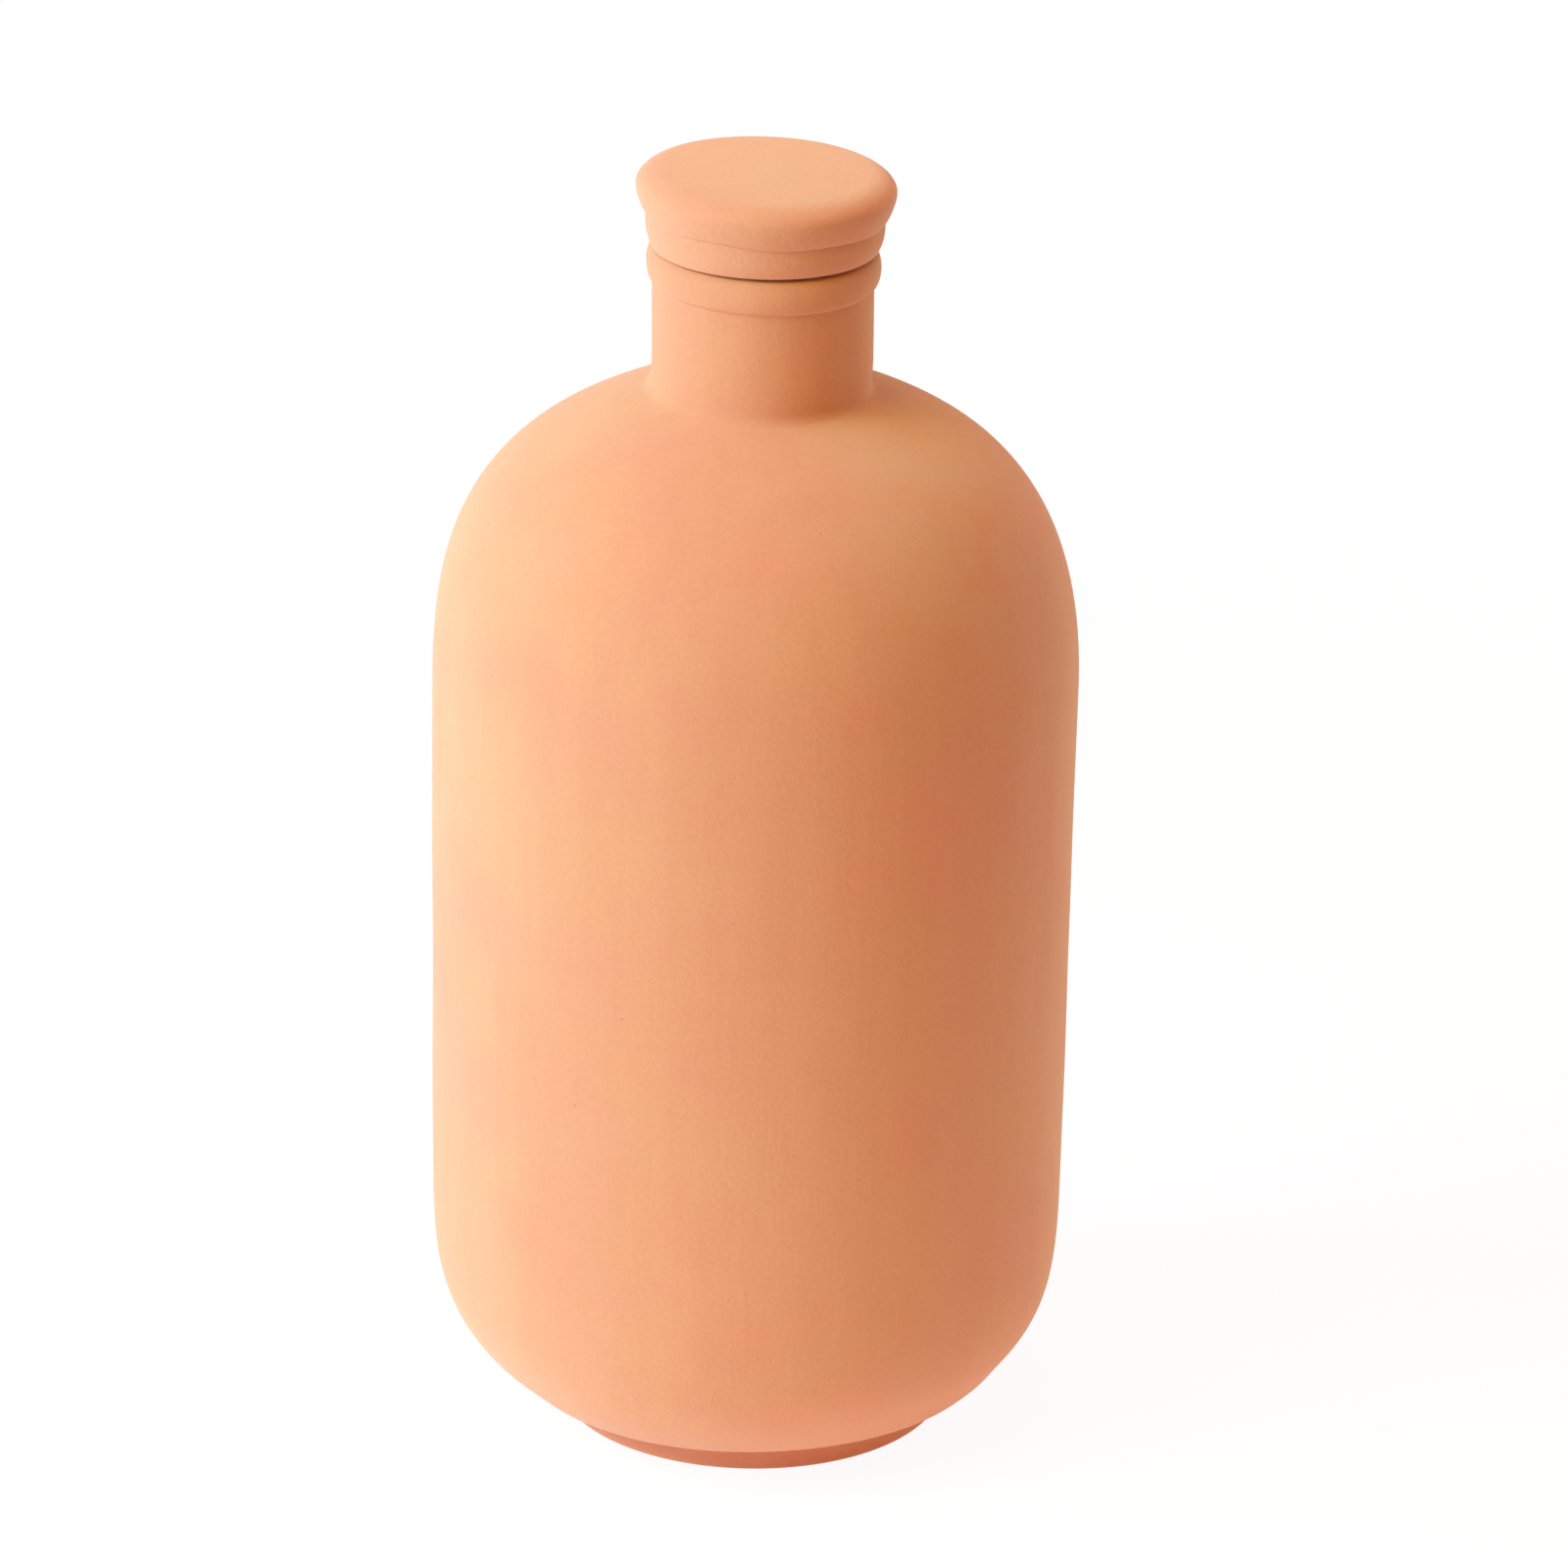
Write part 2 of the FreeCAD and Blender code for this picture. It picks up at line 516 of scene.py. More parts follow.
class ClayEffects:
    """The effects that both clays share, each built once as a node group."""

    # The coarse grain's scale and relief, as parts of the fine grain's
    COARSE_SCALE = 0.2
    COARSE_RELIEF = 0.6

    def __init__(self) -> None:
        """Builds the groups."""
        self.mottling = self._mottling()
        self.streaks = self._streaks()
        self.grain = self._grain()
        self.specks = self._specks()
        self.bloom_and_highlight = self._bloom_and_highlight()

    def _mottling(self) -> bpy.types.NodeTree:
        """Draws soft cloudy patches, as uneven clay and firing leave them.

        Returns:
            The group.
        """
        sheet, given, made = new_group("Clay Mottling", {"Place": None, "Scale": 30.0}, ("Mask",))
        cloud = sheet.noise(
            given.outputs["Place"], given.outputs["Scale"], detail=3.0, roughness=0.55
        )
        sheet.join(sheet.spread(cloud, source=(0.36, 0.64)), made.inputs["Mask"])
        return sheet.tree

    def _streaks(self) -> bpy.types.NodeTree:
        """Draws faint upright streaks, as a wet sponge leaves them.

        Returns:
            The group.
        """
        sheet, given, made = new_group(
            "Clay Streaks", {"Place": None, "Scale": 110.0, "Stretch": 0.06}, ("Mask",)
        )
        squeeze = sheet.add("ShaderNodeCombineXYZ")
        sheet.join(1.0, squeeze.inputs["X"])
        sheet.join(1.0, squeeze.inputs["Y"])
        sheet.join(given.outputs["Stretch"], squeeze.inputs["Z"])
        place = sheet.add("ShaderNodeVectorMath", operation="MULTIPLY")
        sheet.join(given.outputs["Place"], place.inputs[0])
        sheet.join(squeeze.outputs["Vector"], place.inputs[1])
        lines = sheet.noise(
            place.outputs["Vector"], given.outputs["Scale"], detail=3.0, roughness=0.6
        )
        sheet.join(sheet.spread(lines, source=(0.3, 0.7)), made.inputs["Mask"])
        return sheet.tree

    def _grain(self) -> bpy.types.NodeTree:
        """Draws the fine grain of the fired clay, for its colour and its relief.

        Returns:
            The group.
        """
        sheet, given, made = new_group(
            "Clay Grain", {"Place": None, "Scale": 900.0}, ("Mask", "Relief")
        )
        sand = sheet.noise(
            given.outputs["Place"], given.outputs["Scale"], detail=4.0, roughness=0.65
        )
        coarse_scale = sheet.calculate("MULTIPLY", given.outputs["Scale"], self.COARSE_SCALE)
        coarse = sheet.noise(given.outputs["Place"], coarse_scale, detail=2.0, roughness=0.5)
        relief = sheet.calculate("MULTIPLY_ADD", coarse, self.COARSE_RELIEF, sand)
        sheet.join(sheet.spread(sand, source=(0.3, 0.7)), made.inputs["Mask"])
        sheet.join(relief, made.inputs["Relief"])
        return sheet.tree

    def _specks(self) -> bpy.types.NodeTree:
        """Draws a few tiny dark specks and pores, scattered unevenly.

        Returns:
            The group.
        """
        sheet, given, made = new_group(
            "Clay Specks", {"Place": None, "Scale": 260.0, "Size": 0.09}, ("Mask",)
        )
        cells = sheet.add("ShaderNodeTexVoronoi")
        sheet.join(given.outputs["Place"], cells.inputs["Vector"])
        sheet.join(given.outputs["Scale"], cells.inputs["Scale"])
        chosen = sheet.add("ShaderNodeSeparateColor")
        sheet.join(cells.outputs["Color"], chosen.inputs["Color"])
        kept = sheet.spread(chosen.outputs["Red"], source=(0.86, 1.0))
        reach = sheet.calculate("MULTIPLY", given.outputs["Size"], kept)
        inside = sheet.calculate("SUBTRACT", reach, cells.outputs["Distance"])
        sheet.join(sheet.spread(inside, source=(0.0, 0.03)), made.inputs["Mask"])
        return sheet.tree

    def _bloom_and_highlight(self) -> bpy.types.NodeTree:
        """Draws a pale cloudy patch round one spot: part film of salts, part painted highlight.

        Returns:
            The group.
        """
        sheet, given, made = new_group(
            "Clay Bloom And Highlight", {"Place": None, "Centre": None, "Reach": 0.05}, ("Mask",)
        )
        away = sheet.add("ShaderNodeVectorMath", operation="DISTANCE")
        sheet.join(given.outputs["Place"], away.inputs[0])
        sheet.join(given.outputs["Centre"], away.inputs[1])
        distance = sheet.calculate("DIVIDE", away.outputs["Value"], given.outputs["Reach"])
        nearness = sheet.calculate("SUBTRACT", 1.0, distance)
        cloud = sheet.noise(given.outputs["Place"], scale=45.0, detail=3.0, roughness=0.6)
        patchy = sheet.spread(cloud, source=(0.25, 0.65))
        film = sheet.calculate("MULTIPLY", sheet.spread(nearness, source=(0.0, 0.8)), patchy)
        sheet.join(film, made.inputs["Mask"])
        return sheet.tree


@dataclass(frozen=True)
class ClayFinish:
    """The look of one fired, unglazed clay.

    Attributes:
        slot: The record's slot that it dresses.
        base: The clay's colour.
        pink: Colour of its pinkish patches.
        straw: Colour of its yellowish patches.
        dark: Colour of its streaks and specks.
        pale: Colour of the pale patch, part film of salts and part painted highlight.
        patch_scale: How many patches there are in a metre.
        patch_share: How strong they are.
        streak_share: How strong the streaks are.
        band_share: How strong the broad upright bands are.
        bloom_and_highlight_centre: The middle of the pale patch, part film of salts and part
            painted highlight.
        bloom_and_highlight_reach: How far the patch reaches from there.
        bloom_and_highlight_share: How strong it is.
        grain_share: How strongly the grain shows in the colour.
        roughness: How rough the surface is at its smoothest and its roughest.
        relief: Height of the grain's relief.
        sheen: How strong the pale dusty sheen is.
        sheen_roughness: How widely it spreads.
        diffuse_roughness: How powdery the clay looks in full light.
        specular: How strong its faint gloss is.
        straw_place: Shift of the yellowish patches and the bands from the pinkish patches.
        straw_spread: Scale of the yellowish patches, as a part of the pinkish ones'.
        band_scale: How many bands there are in a metre.
        band_stretch: How much they are drawn out upwards; less is longer.
        speck_share: How strong the specks are.
        streak_relief: Relief of the streaks, as a part of the grain's.
    """

    slot: ClaySlot
    base: Colour
    pink: Colour
    straw: Colour
    dark: Colour
    pale: Colour
    patch_scale: float
    patch_share: float
    streak_share: float
    band_share: float
    bloom_and_highlight_centre: tuple[float, float, float]
    bloom_and_highlight_reach: float
    bloom_and_highlight_share: float
    grain_share: float
    roughness: tuple[float, float]
    relief: float
    sheen: float
    sheen_roughness: float = 0.5
    diffuse_roughness: float = 0.6
    specular: float = 0.35
    straw_place: tuple[float, float, float] = (0.31, 0.17, 0.23)
    straw_spread: float = 0.7
    band_scale: float = 34.0
    band_stretch: float = 0.16
    speck_share: float = 0.5
    streak_relief: float = 0.4

    def material(self, effects: ClayEffects) -> bpy.types.Material:
        """Builds the material.

        Args:
            effects: The node groups that both clays share.

        Returns:
            The material.
        """
        made = bpy.data.materials.new(self.slot.value)
        made.use_nodes = True
        made.node_tree.nodes.clear()
        sheet = NodeSheet(made.node_tree)
        place = sheet.add("ShaderNodeTexCoord").outputs["Object"]
        shifted = sheet.add("ShaderNodeMapping")
        sheet.join(place, shifted.inputs["Vector"])
        shifted.inputs["Location"].default_value = self.straw_place
        moved = shifted.outputs["Vector"]

        pinks = sheet.group(effects.mottling, Place=place, Scale=self.patch_scale).outputs["Mask"]
        straws = sheet.group(
            effects.mottling, Place=moved, Scale=self.patch_scale * self.straw_spread
        ).outputs["Mask"]
        streaks = sheet.group(effects.streaks, Place=place).outputs["Mask"]
        bands = sheet.group(
            effects.streaks, Place=moved, Scale=self.band_scale, Stretch=self.band_stretch
        ).outputs["Mask"]
        # The pale patch: a painted highlight where light from above falls, partly a film of salts
        # on the bottle.
        bloom_and_highlight = sheet.group(
            effects.bloom_and_highlight, Place=place, Centre=self.bloom_and_highlight_centre, Reach=self.bloom_and_highlight_reach
        ).outputs["Mask"]
        grain = sheet.group(effects.grain, Place=place)
        specks = sheet.group(effects.specks, Place=place).outputs["Mask"]

        colour = self.base
        for mask, share, tone in (
            (pinks, self.patch_share, self.pink),
            (straws, self.patch_share, self.straw),
            (bands, self.band_share, self.dark),
            (streaks, self.streak_share, self.dark),
            (grain.outputs["Mask"], self.grain_share, self.dark),
            (specks, self.speck_share, self.dark),
            (bloom_and_highlight, self.bloom_and_highlight_share, self.pale),
        ):
            colour = sheet.tint(sheet.calculate("MULTIPLY", mask, share), colour, tone)

        bump = sheet.add("ShaderNodeBump")
        bump.inputs["Strength"].default_value = 1.0
        bump.inputs["Distance"].default_value = self.relief
        height = sheet.calculate(
            "MULTIPLY_ADD", streaks, self.streak_relief, grain.outputs["Relief"]
        )
        sheet.join(sheet.calculate("SUBTRACT", height, specks), bump.inputs["Height"])

        clay = sheet.add("ShaderNodeBsdfPrincipled")
        sheet.join(colour, clay.inputs["Base Color"])
        roughness = sheet.spread(grain.outputs["Mask"], (0.0, 1.0), self.roughness)
        sheet.join(roughness, clay.inputs["Roughness"])
        sheet.join(bump.outputs["Normal"], clay.inputs["Normal"])
        clay.inputs["Diffuse Roughness"].default_value = self.diffuse_roughness
        clay.inputs["Specular IOR Level"].default_value = self.specular
        clay.inputs["Sheen Weight"].default_value = self.sheen
        clay.inputs["Sheen Roughness"].default_value = self.sheen_roughness
        output = sheet.add("ShaderNodeOutputMaterial")
        sheet.join(clay.outputs["BSDF"], output.inputs["Surface"])
        return made


BOTTLE_CLAY = ClayFinish(
    slot=ClaySlot.BOTTLE,
    base=(0.80, 0.375, 0.205, 1.0),
    pink=(0.81, 0.345, 0.215, 1.0),
    straw=(0.80, 0.415, 0.225, 1.0),
    dark=(0.66, 0.27, 0.13, 1.0),
    pale=(0.70, 0.48, 0.34, 1.0),
    patch_scale=26.0,
    patch_share=0.6,
    streak_share=0.10,
    band_share=0.12,
    # A pale patch on the lit right shoulder: part film of salts, part painted highlight from above.
    bloom_and_highlight_centre=(0.045, -0.035, 0.245),
    bloom_and_highlight_reach=0.055,
    bloom_and_highlight_share=0.35,
    grain_share=0.16,
    roughness=(0.86, 0.97),
    relief=0.00012,
    sheen=0.15,
)

LID_CLAY = ClayFinish(
    slot=ClaySlot.LID,
    base=(0.81, 0.375, 0.225, 1.0),
    pink=(0.81, 0.350, 0.235, 1.0),
    straw=(0.80, 0.400, 0.230, 1.0),
    dark=(0.66, 0.27, 0.13, 1.0),
    pale=(0.72, 0.50, 0.36, 1.0),
    patch_scale=34.0,
    patch_share=0.5,
    streak_share=0.03,
    band_share=0.04,
    # A pale patch over the lid's top: a painted highlight where light from above falls.
    bloom_and_highlight_centre=(0.010, -0.010, 0.327),
    bloom_and_highlight_reach=0.030,
    bloom_and_highlight_share=0.10,
    grain_share=0.20,
    roughness=(0.86, 0.97),
    relief=0.00014,
    sheen=0.15,
)


@dataclass
class Bottle:
    """The porous bottle: foot, trimmed edge, base curve, wall, shoulder, neck and beaded rim."""

    body_radius: float
    rim_height: float

    # Outside
    foot_radius: float = 0.0490
    foot_height: float = 0.0104
    edge_radius: float = 0.0604
    base_height: float = 0.0517
    wall_taper: float = 0.0006
    shoulder_height: float = 0.0772
    neck_radius: float = 0.0270
    neck_height: float = 0.0361
    bead_height: float = 0.0084
    bead_belly_drop: float = 0.0038
    bead_proud: float = 0.0016
    bead_turn_in: float = 0.0019

    # Inside and underneath
    wall: float = 0.0070
    neck_wall: float = 0.0063
    floor: float = 0.0080
    foot_ring_width: float = 0.0090
    recess_depth: float = 0.0020
    recess_flare: float = 0.0015

    # Slopes of the free curves, and how far each is held as a part of the chord
    edge_rise: float = 41.1
    shoulder_fall: float = 21.9
    base_reach: float = 0.411
    wall_bottom_reach: float = 0.493
    wall_top_reach: float = 0.564
    shoulder_reach: float = 0.351
    floor_reach: float = 0.39

    # Roundings
    foot_rounding: float = 0.0008
    foot_root_rounding: float = 0.0015
    edge_rounding: float = 0.0005
    neck_root_rounding: float = 0.0030
    rim_rounding: float = 0.0015
    bore_root_rounding: float = 0.0040

    # Distances between the points on the curves
    outside_spacing: float = 0.0018
    bead_spacing: float = 0.00045
    inside_spacing: float = 0.0060

    # What the maker's hands left, with the sway as heights and shifts from the axis
    sway: tuple[tuple[float, float], ...] = (
        (0.005, 0.0014),
        (0.012, 0.0006),
        (0.019, -0.0001),
        (0.045, -0.0003),
        (0.150, -0.0001),
        (0.197, 0.0001),
        (0.250, -0.0004),
        (0.267, -0.0004),
        (0.279, 0.0006),
        (0.302, 0.0005),
    )
    rim_lean: float = 0.022
    roundness: Waves = (Wave(2, 0.00015, 70), Wave(3, 0.00012, 20))
    edge_waves: Waves = (Wave(1, 0.0016, 90), Wave(3, 0.00022, 35), Wave(5, 0.00012, 80))
    edge_lift: Waves = (Wave(1, 0.0008, 80), Wave(2, 0.0005, 60), Wave(3, 0.0003, 10))
    edge_waves_top: float = 0.0200
    bead_waves: Waves = (Wave(2, 0.00015, 40), Wave(5, 0.00010, 15))
    bead_waves_drop: tuple[float, float] = (0.01008, 0.0040)
    swell: float = 0.00018
    swell_scale: float = 28
    even_radius: float = 0.0200

    @property
    def shoulder_top(self) -> float:
        """Height at which the shoulder meets the neck."""
        return self.rim_height - self.neck_height

    @property
    def wall_top(self) -> float:
        """Height at which the wall ends and the shoulder starts."""
        return self.shoulder_top - self.shoulder_height

    @property
    def base_top(self) -> float:
        """Height at which the base curve ends and the wall starts."""
        return self.foot_height + self.base_height

    def section(self) -> TurnedSection:
        """Draws the half section.

        Returns:
            The section, from the recess under the foot round the outside to the inner floor.
        """
        wall_bottom_radius = self.body_radius - self.wall_taper
        lean = math.degrees(math.atan2(self.wall_top - self.base_top, self.wall_taper))
        bore = self.neck_radius - self.neck_wall
        recess_radius = self.foot_radius - self.foot_ring_width
        fall = math.radians(self.shoulder_fall)
        bore_bottom = self.shoulder_top + self.neck_wall * math.tan(fall)
        bore_bottom -= self.wall / math.cos(fall)
        bead_bottom = self.rim_height - self.bead_height
        bead_belly = self.rim_height - self.bead_belly_drop
        bead_radius = self.neck_radius + self.bead_proud
        rim_edge = bead_radius - self.bead_turn_in

        drawn = TurnedSection(0, self.recess_depth, self.inside_spacing)
        drawn.line(recess_radius, self.recess_depth)
        drawn.spacing = self.outside_spacing
        drawn.line(recess_radius + self.recess_flare, 0, rounding=self.foot_rounding)
        drawn.line(self.foot_radius, 0, rounding=self.foot_rounding)
        drawn.line(self.foot_radius, self.foot_height, rounding=self.foot_root_rounding)
        drawn.line(self.edge_radius, self.foot_height, rounding=self.edge_rounding)
        drawn.sweep(
            self.edge_rise,
            self.base_reach,
            (wall_bottom_radius, self.base_top),
            lean,
            self.wall_bottom_reach,
        )
        drawn.line(self.body_radius, self.wall_top)
        drawn.sweep(
            lean,
            self.wall_top_reach,
            (self.neck_radius, self.shoulder_top),
            180 - self.shoulder_fall,
            self.shoulder_reach,
            rounding=self.neck_root_rounding,
        )
        drawn.line(self.neck_radius, bead_bottom)
        drawn.spacing = self.bead_spacing
        drawn.bend((bead_radius, bead_bottom), (bead_radius, bead_belly), QUARTER_ELLIPSE)
        drawn.bend((bead_radius, self.rim_height), (rim_edge, self.rim_height), QUARTER_ELLIPSE)
        drawn.spacing = self.inside_spacing
        drawn.line(bore, self.rim_height, rounding=self.rim_rounding)
        drawn.line(bore, bore_bottom, rounding=self.bore_root_rounding)
        drawn.sweep(
            -self.shoulder_fall,
            self.shoulder_reach,
            (self.body_radius - self.wall, self.wall_top),
            lean - 180,
            self.wall_top_reach,
        )
        drawn.line(wall_bottom_radius - self.wall, self.base_top)
        drawn.sweep(
            lean - 180,
            self.floor_reach,
            (recess_radius - self.wall, self.recess_depth + self.floor),
            180,
            self.floor_reach,
        )
        drawn.line(0, self.recess_depth + self.floor)
        return drawn

    def _handwork(self, place: Vector, radius: float, azimuth: float) -> Vector:
        """Gives the shift that the maker's hands left at a point.

        Args:
            place: Where the point is.
            radius: Its distance from the axis.
            azimuth: Its azimuth in radians.

        Returns:
            The shift.
        """
        height = place.z
        off_centre = self.sway[0][1]
        for (low, before), (high, after) in zip(self.sway, self.sway[1:]):
            off_centre += (after - before) * smooth(low, high, height)
        shift = Vector((off_centre, 0, 0))
        proud = uneven(self.roundness, azimuth) + self.swell * noise.noise(place * self.swell_scale)
        near_edge = smooth(self.edge_waves_top, self.foot_height, height)
        near_edge *= smooth(0.0, self.foot_height, height)
        near_edge *= smooth(self.foot_radius, self.edge_radius, radius)
        waves_start, waves_full = (self.rim_height - drop for drop in self.bead_waves_drop)
        near_rim = smooth(waves_start, waves_full, height)
        proud += near_edge * uneven(self.edge_waves, azimuth)
        proud += near_rim * uneven(self.bead_waves, azimuth)
        grounded = smooth(0.0, self.foot_height / 2, height)
        shift += outward(azimuth) * (proud * grounded * smooth(0.0, self.even_radius, radius))
        lean = self.rim_lean * place.x * smooth(self.shoulder_top, self.rim_height, height)
        return shift + Vector((0, 0, near_edge * uneven(self.edge_lift, azimuth) - lean))

    def build(self, effects: ClayEffects) -> bpy.types.Object:
        """Builds and places the bottle.

        Args:
            effects: The node groups of the clay.

        Returns:
            The bottle's object.
        """
        shell = self.section().turned()
        shaped_by_hand(shell, self._handwork)
        made = as_object(shell, "clay_bottle", BOTTLE_CLAY.material(effects))
        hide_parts("bottle")
        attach(made, "root")
        return made


@dataclass
class Lid:
    """The loose lid: hollow plug, collar on the rim, and a rounded disc with a low dome."""

    plug_bottom: float
    rim_height: float

    # Plug
    plug_radius: float = 0.0198
    plug_taper: float = 0.0005
    plug_wall: float = 0.0070
    thickness: float = 0.0097

    # Collar and disc
    collar_foot_radius: float = 0.0278
    collar_swell: float = 0.0006
    collar_belly: float = 0.55
    collar_height: float = 0.0088
    crease_radius: float = 0.0291
    underside_fullness: float = 0.35
    disc_radius: float = 0.03165
    disc_lower_height: float = 0.0064
    disc_upper_height: float = 0.0043
    dome_radius: float = 0.02435
    dome_rise: float = 0.0006

    # Roundings
    hollow_rounding: float = 0.0040
    plug_tip_rounding: float = 0.0015
    plug_root_rounding: float = 0.0010
    collar_rounding: float = 0.0010

    # Distances between the points on the curves
    spacing: float = 0.0005
    dome_spacing: float = 0.0010
    hidden_spacing: float = 0.0030

    # What the maker's hands left
    shift: float = 0.0007
    lean: float = 0.022
    disc_waves: Waves = (Wave(1, 0.0002, 90), Wave(2, 0.0002, 60), Wave(3, 0.00015, 10))
    disc_swell: float = 0.0002
    disc_swell_scale: float = 60
    disc_fade: float = 0.001
    crease_waves: Waves = (Wave(1, 0.0002, -60), Wave(2, -0.0002, 60), Wave(6, 0.00022, 37))
    crease_fade: float = 0.003
    gap_waves: Waves = (Wave(0, 0.0003, 0), Wave(1, 0.0007, 25))
    gap_reach: tuple[float, float] = (0.0205, 0.0235)
    gap_fade: float = 0.004

    @property
    def crease_height(self) -> float:
        """Height of the crease where the collar runs in under the disc."""
        return self.rim_height + self.collar_height

    @property
    def widest_height(self) -> float:
        """Height at which the disc is widest."""
        return self.crease_height + self.disc_lower_height

    @property
    def edge_top(self) -> float:
        """Height at which the disc's rounded edge ends and its dome starts."""
        return self.widest_height + self.disc_upper_height

    def section(self) -> TurnedSection:
        """Draws the half section.

        Returns:
            The section, from the hollow's roof round the plug and the collar to the dome.
        """
        tip = self.plug_radius - self.plug_taper
        hollow = self.plug_radius - self.plug_wall
        top = self.edge_top + self.dome_rise
        roof = top - self.thickness

        drawn = TurnedSection(0, roof, self.hidden_spacing)
        drawn.line(hollow, roof, rounding=self.hollow_rounding)
        drawn.line(hollow, self.plug_bottom, rounding=self.plug_tip_rounding)
        drawn.line(tip, self.plug_bottom, rounding=self.plug_tip_rounding)
        drawn.line(self.plug_radius, self.rim_height, rounding=self.plug_root_rounding)
        drawn.spacing = self.spacing
        drawn.line(self.collar_foot_radius, self.rim_height, rounding=self.collar_rounding)
        drawn.bulge(self.collar_swell, self.collar_belly, (self.crease_radius, self.crease_height))
        drawn.bend(
            (self.disc_radius, self.crease_height),
            (self.disc_radius, self.widest_height),
            self.underside_fullness,
        )
        drawn.bend(
            (self.disc_radius, self.edge_top), (self.dome_radius, self.edge_top), QUARTER_ELLIPSE
        )
        drawn.spacing = self.dome_spacing
        drawn.bend((self.dome_radius / 2, top), (0, top), SLIGHT_BEND)
        return drawn

    def _handwork(self, place: Vector, radius: float, azimuth: float) -> Vector:
        """Gives the shift that the maker's hands left at a point.

        Args:
            place: Where the point is.
            radius: Its distance from the axis.
            azimuth: Its azimuth in radians.

        Returns:
            The shift.
        """
        height = place.z
        outside = smooth(self.plug_radius, self.collar_foot_radius, radius)
        on_disc = outside * smooth(self.crease_height - self.disc_fade, self.widest_height, height)
        at_crease = outside * smooth(self.rim_height + self.crease_fade, self.crease_height, height)
        at_crease *= 1 - smooth(self.crease_height, self.widest_height, height)
        at_gap = smooth(*self.gap_reach, radius)
        at_gap *= 1 - smooth(self.rim_height, self.rim_height + self.gap_fade, height)
        gap = max(0.0, uneven(self.gap_waves, azimuth))
        swelling = self.disc_swell * noise.noise(place * self.disc_swell_scale)
        proud = on_disc * (uneven(self.disc_waves, azimuth) + swelling)
        lift = at_crease * uneven(self.crease_waves, azimuth) + at_gap * gap
        return Vector((self.shift, 0, lift - self.lean * place.x)) + outward(azimuth) * proud

    def build(self, effects: ClayEffects) -> bpy.types.Object:
        """Builds and places the lid.

        Args:
            effects: The node groups of the clay.

        Returns:
            The lid's object.
        """
        shell = self.section().turned()
        shaped_by_hand(shell, self._handwork)
        made = as_object(shell, "clay_lid", LID_CLAY.material(effects))
        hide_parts("lid")
        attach(made, "root")
        return made


@dataclass(frozen=True)
class SoftLamp:
    """A large soft lamp that faces the olla.

    Attributes:
        name: The lamp's name.
        azimuth: Where it stands round the olla, in degrees.
        elevation: How high it stands, in degrees.
        distance: How far away it stands.
        width: Its width.
        height: Its height.
        colour: The colour of its light.
        power: Its power in watts.
    """

    name: str
    azimuth: float
    elevation: float
    distance: float
    width: float
    height: float
    colour: tuple[float, float, float]
    power: float

    def build(self, target: Vector) -> bpy.types.Object:
        """Builds the lamp.

        Args:
            target: The point that it faces.

        Returns:
            The lamp's object.
        """
        light = bpy.data.lights.new(self.name, "AREA")
        light.shape = "RECTANGLE"
        light.size = self.width
        light.size_y = self.height
        light.color = self.colour
        light.energy = self.power
        lamp = bpy.data.objects.new(self.name, light)
        elevation = math.radians(self.elevation)
        away = outward(math.radians(self.azimuth)) * math.cos(elevation)
        away += Vector((0, 0, math.sin(elevation)))
        lamp.location = target + away * self.distance
        lamp.rotation_mode = "QUATERNION"
        lamp.rotation_quaternion = (-away).to_track_quat("-Z", "Y")
        bpy.context.scene.collection.objects.link(lamp)
        return lamp


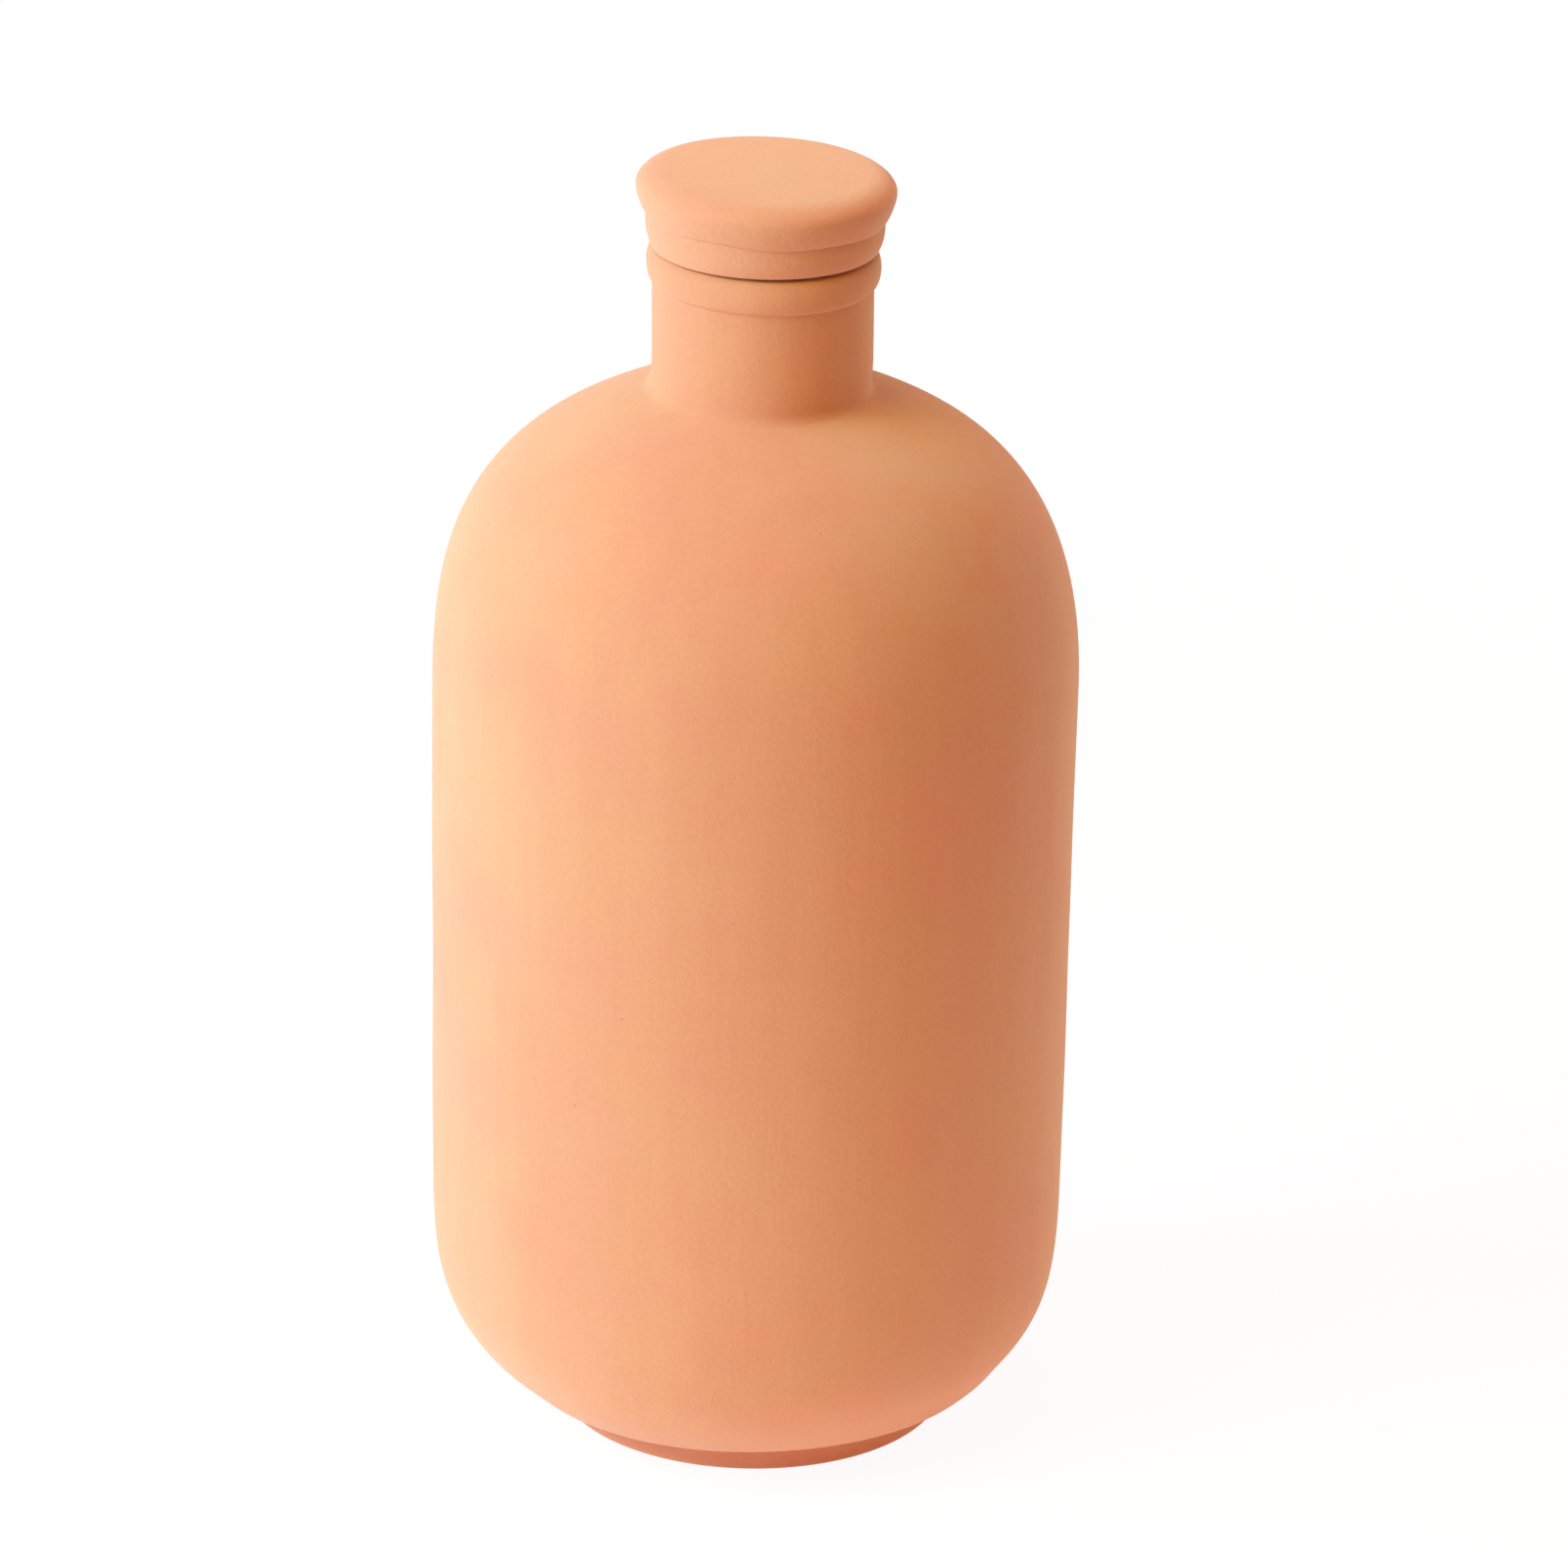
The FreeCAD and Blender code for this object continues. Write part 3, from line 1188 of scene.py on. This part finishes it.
@dataclass
class Studio:
    """A plain white studio: floor, surroundings and soft lamps.

    Attributes:
        target: The point that the lamps face.
        floor_radius: Radius of the floor.
        floor_colour: Its colour.
        shadow_share: How much of the shadow on it is seen close to the olla.
        shadow_reach: Distances at which that starts to fade and has gone.
        bounce_glow: A glow that it gives off close to the olla, painted light standing in for the
            light that it throws back.
        bounce_glow_reach: Distances at which that starts to fade and has gone.
        ambient_colour: Colour of the weak light all round.
        ambient_strength: Its strength.
        lamps: The soft lamps.
    """

    target: Vector
    floor_radius: float = 4.0
    floor_colour: Colour = (0.88, 0.86, 0.84, 1.0)
    shadow_share: float = 0.12
    shadow_reach: tuple[float, float] = (0.15, 0.75)
    bounce_glow: Colour = (0.34, 0.34, 0.37, 1.0)
    bounce_glow_reach: tuple[float, float] = (0.10, 0.65)
    ambient_colour: Colour = (1.0, 0.60, 0.40, 1.0)
    ambient_strength: float = 0.01
    lamps: tuple[SoftLamp, ...] = (
        SoftLamp("window", -75, 35, 1.6, 1.2, 0.8, (0.331, 0.717, 1.0), 31.9),
        SoftLamp("warm_window", -50, 35, 1.6, 1.2, 0.8, (0.995, 1.0, 0.025), 11.8),
        SoftLamp("low_window", -70, 4, 1.6, 1.2, 0.4, (0.255, 0.321, 1.0), 9.9),
        SoftLamp("warm_fill", 15, 4, 1.6, 1.2, 0.4, (1.0, 0.196, 0.0), 4.6),
        SoftLamp("back_wall", 130, 15, 1.6, 1.2, 1.0, (0.862, 1.0, 0.618), 13.7),
        SoftLamp("ceiling", 0, 88, 1.6, 1.4, 1.4, (1.0, 0.56, 0.54), 15.6),
    )

    def _seen_directly(self, sheet: NodeSheet) -> Socket:
        """Adds a mask of what is seen directly.

        Args:
            sheet: The node tree that it goes into.

        Returns:
            A value that is 1 where a view, a reflection or a look through glass meets the surface.
        """
        path = sheet.add("ShaderNodeLightPath").outputs
        reflected = sheet.calculate("MAXIMUM", path["Is Glossy Ray"], path["Is Transmission Ray"])
        return sheet.calculate("MAXIMUM", path["Is Camera Ray"], reflected)

    def _floor_material(self) -> bpy.types.Material:
        """Builds the floor's material.

        Returns:
            A white that keeps a soft shadow, and glows near the olla in place of the light that it
            throws back.
        """
        made = bpy.data.materials.new("studio_floor")
        made.use_nodes = True
        made.node_tree.nodes.clear()
        sheet = NodeSheet(made.node_tree)
        away = sheet.add("ShaderNodeVectorMath", operation="LENGTH")
        sheet.join(sheet.add("ShaderNodeTexCoord").outputs["Object"], away.inputs[0])
        white = sheet.spread(away.outputs["Value"], self.shadow_reach, (1 - self.shadow_share, 1.0))
        card = sheet.add("ShaderNodeBsdfDiffuse")
        card.inputs["Color"].default_value = self.floor_colour
        # A glow near the olla: painted light standing in for the light that the floor throws back.
        bounce_glow = sheet.add("ShaderNodeEmission")
        bounce_glow.inputs["Color"].default_value = self.bounce_glow
        fading = sheet.spread(away.outputs["Value"], self.bounce_glow_reach, (1.0, 0.0))
        sheet.join(fading, bounce_glow.inputs["Strength"])
        lit = sheet.add("ShaderNodeAddShader")
        sheet.join(card.outputs["BSDF"], lit.inputs[0])
        sheet.join(bounce_glow.outputs["Emission"], lit.inputs[1])
        glow = sheet.add("ShaderNodeEmission")
        mixed = sheet.add("ShaderNodeMixShader")
        sheet.join(sheet.calculate("MULTIPLY", white, self._seen_directly(sheet)), mixed.inputs[0])
        sheet.join(lit.outputs["Shader"], mixed.inputs[1])
        sheet.join(glow.outputs["Emission"], mixed.inputs[2])
        output = sheet.add("ShaderNodeOutputMaterial")
        sheet.join(mixed.outputs["Shader"], output.inputs["Surface"])
        return made

    def build_floor(self) -> None:
        """Builds the floor."""
        disc = bmesh.new()
        bmesh.ops.create_circle(
            disc, cap_ends=True, segments=FLOOR_SEGMENTS, radius=self.floor_radius
        )
        floor = as_object(disc, "floor", self._floor_material())

    def build_surroundings(self) -> None:
        """Builds white surroundings that give a weak even light."""
        world = bpy.data.worlds.new("surroundings")
        world.use_nodes = True
        world.node_tree.nodes.clear()
        sheet = NodeSheet(world.node_tree)
        ambient = sheet.add("ShaderNodeBackground")
        ambient.inputs["Color"].default_value = self.ambient_colour
        ambient.inputs["Strength"].default_value = self.ambient_strength
        white = sheet.add("ShaderNodeBackground")
        white.inputs["Color"].default_value = (1.0, 1.0, 1.0, 1.0)
        mixed = sheet.add("ShaderNodeMixShader")
        sheet.join(self._seen_directly(sheet), mixed.inputs[0])
        sheet.join(ambient.outputs["Background"], mixed.inputs[1])
        sheet.join(white.outputs["Background"], mixed.inputs[2])
        output = sheet.add("ShaderNodeOutputWorld")
        sheet.join(mixed.outputs["Shader"], output.inputs["Surface"])
        bpy.context.scene.world = world

    def build(self) -> None:
        """Builds the floor, the surroundings and the lamps, and sets the plain view transform."""
        self.build_floor()
        self.build_surroundings()
        for lamp in self.lamps:
            lamp.build(self.target)
        bpy.context.scene.view_settings.view_transform = "Standard"


@dataclass(frozen=True)
class PhotoCamera:
    """The camera of the photograph, fitted to the olla's outline.

    Attributes:
        aim: The point that the middle of the picture shows.
        elevation: How far above the horizon it stands, in degrees.
        roll: How far it is turned about its own axis, in degrees.
        distance: How far from that point it stands.
        lens: Its focal length in millimetres.
        sensor: Width of its sensor in millimetres.
    """

    aim: tuple[float, float, float] = (0.00746, 0.0, 0.1662)
    elevation: float = 22.4
    roll: float = 0.94
    distance: float = 2.3
    lens: float = 211.93
    sensor: float = 36.0

    def build(self) -> bpy.types.Object:
        """Builds the camera and makes it the scene's own.

        Returns:
            The camera's object.
        """
        data = bpy.data.cameras.new("photo_camera")
        data.lens = self.lens
        data.sensor_width = self.sensor
        camera = bpy.data.objects.new("photo_camera", data)
        tilt = Matrix.Rotation(math.radians(90 - self.elevation), 4, "X")
        turn = Matrix.Rotation(math.radians(self.roll), 4, "Z")
        back = Matrix.Translation((0, 0, self.distance))
        camera.matrix_world = Matrix.Translation(self.aim) @ tilt @ turn @ back
        bpy.context.scene.collection.objects.link(camera)
        bpy.context.scene.camera = camera
        return camera


def main() -> None:
    """Builds the olla and its studio, and reports each piece."""
    logging.basicConfig(level=logging.INFO, format="%(name)s: %(message)s")
    bottle_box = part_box("bottle")
    lid_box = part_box("lid")
    rim_height = bottle_box[1].z - RIM_DROP
    bottle = Bottle(body_radius=bottle_box[1].x, rim_height=rim_height)
    lid = Lid(plug_bottom=lid_box[0].z, rim_height=rim_height)
    effects = ClayEffects()
    for piece in (bottle.build(effects), lid.build(effects)):
        log.info("%s has %d faces", piece.name, len(piece.data.polygons))
    Studio(target=Vector((0, 0, bottle_box[1].z / 2))).build()
    PhotoCamera().build()


if __name__ == "__main__":
    main()
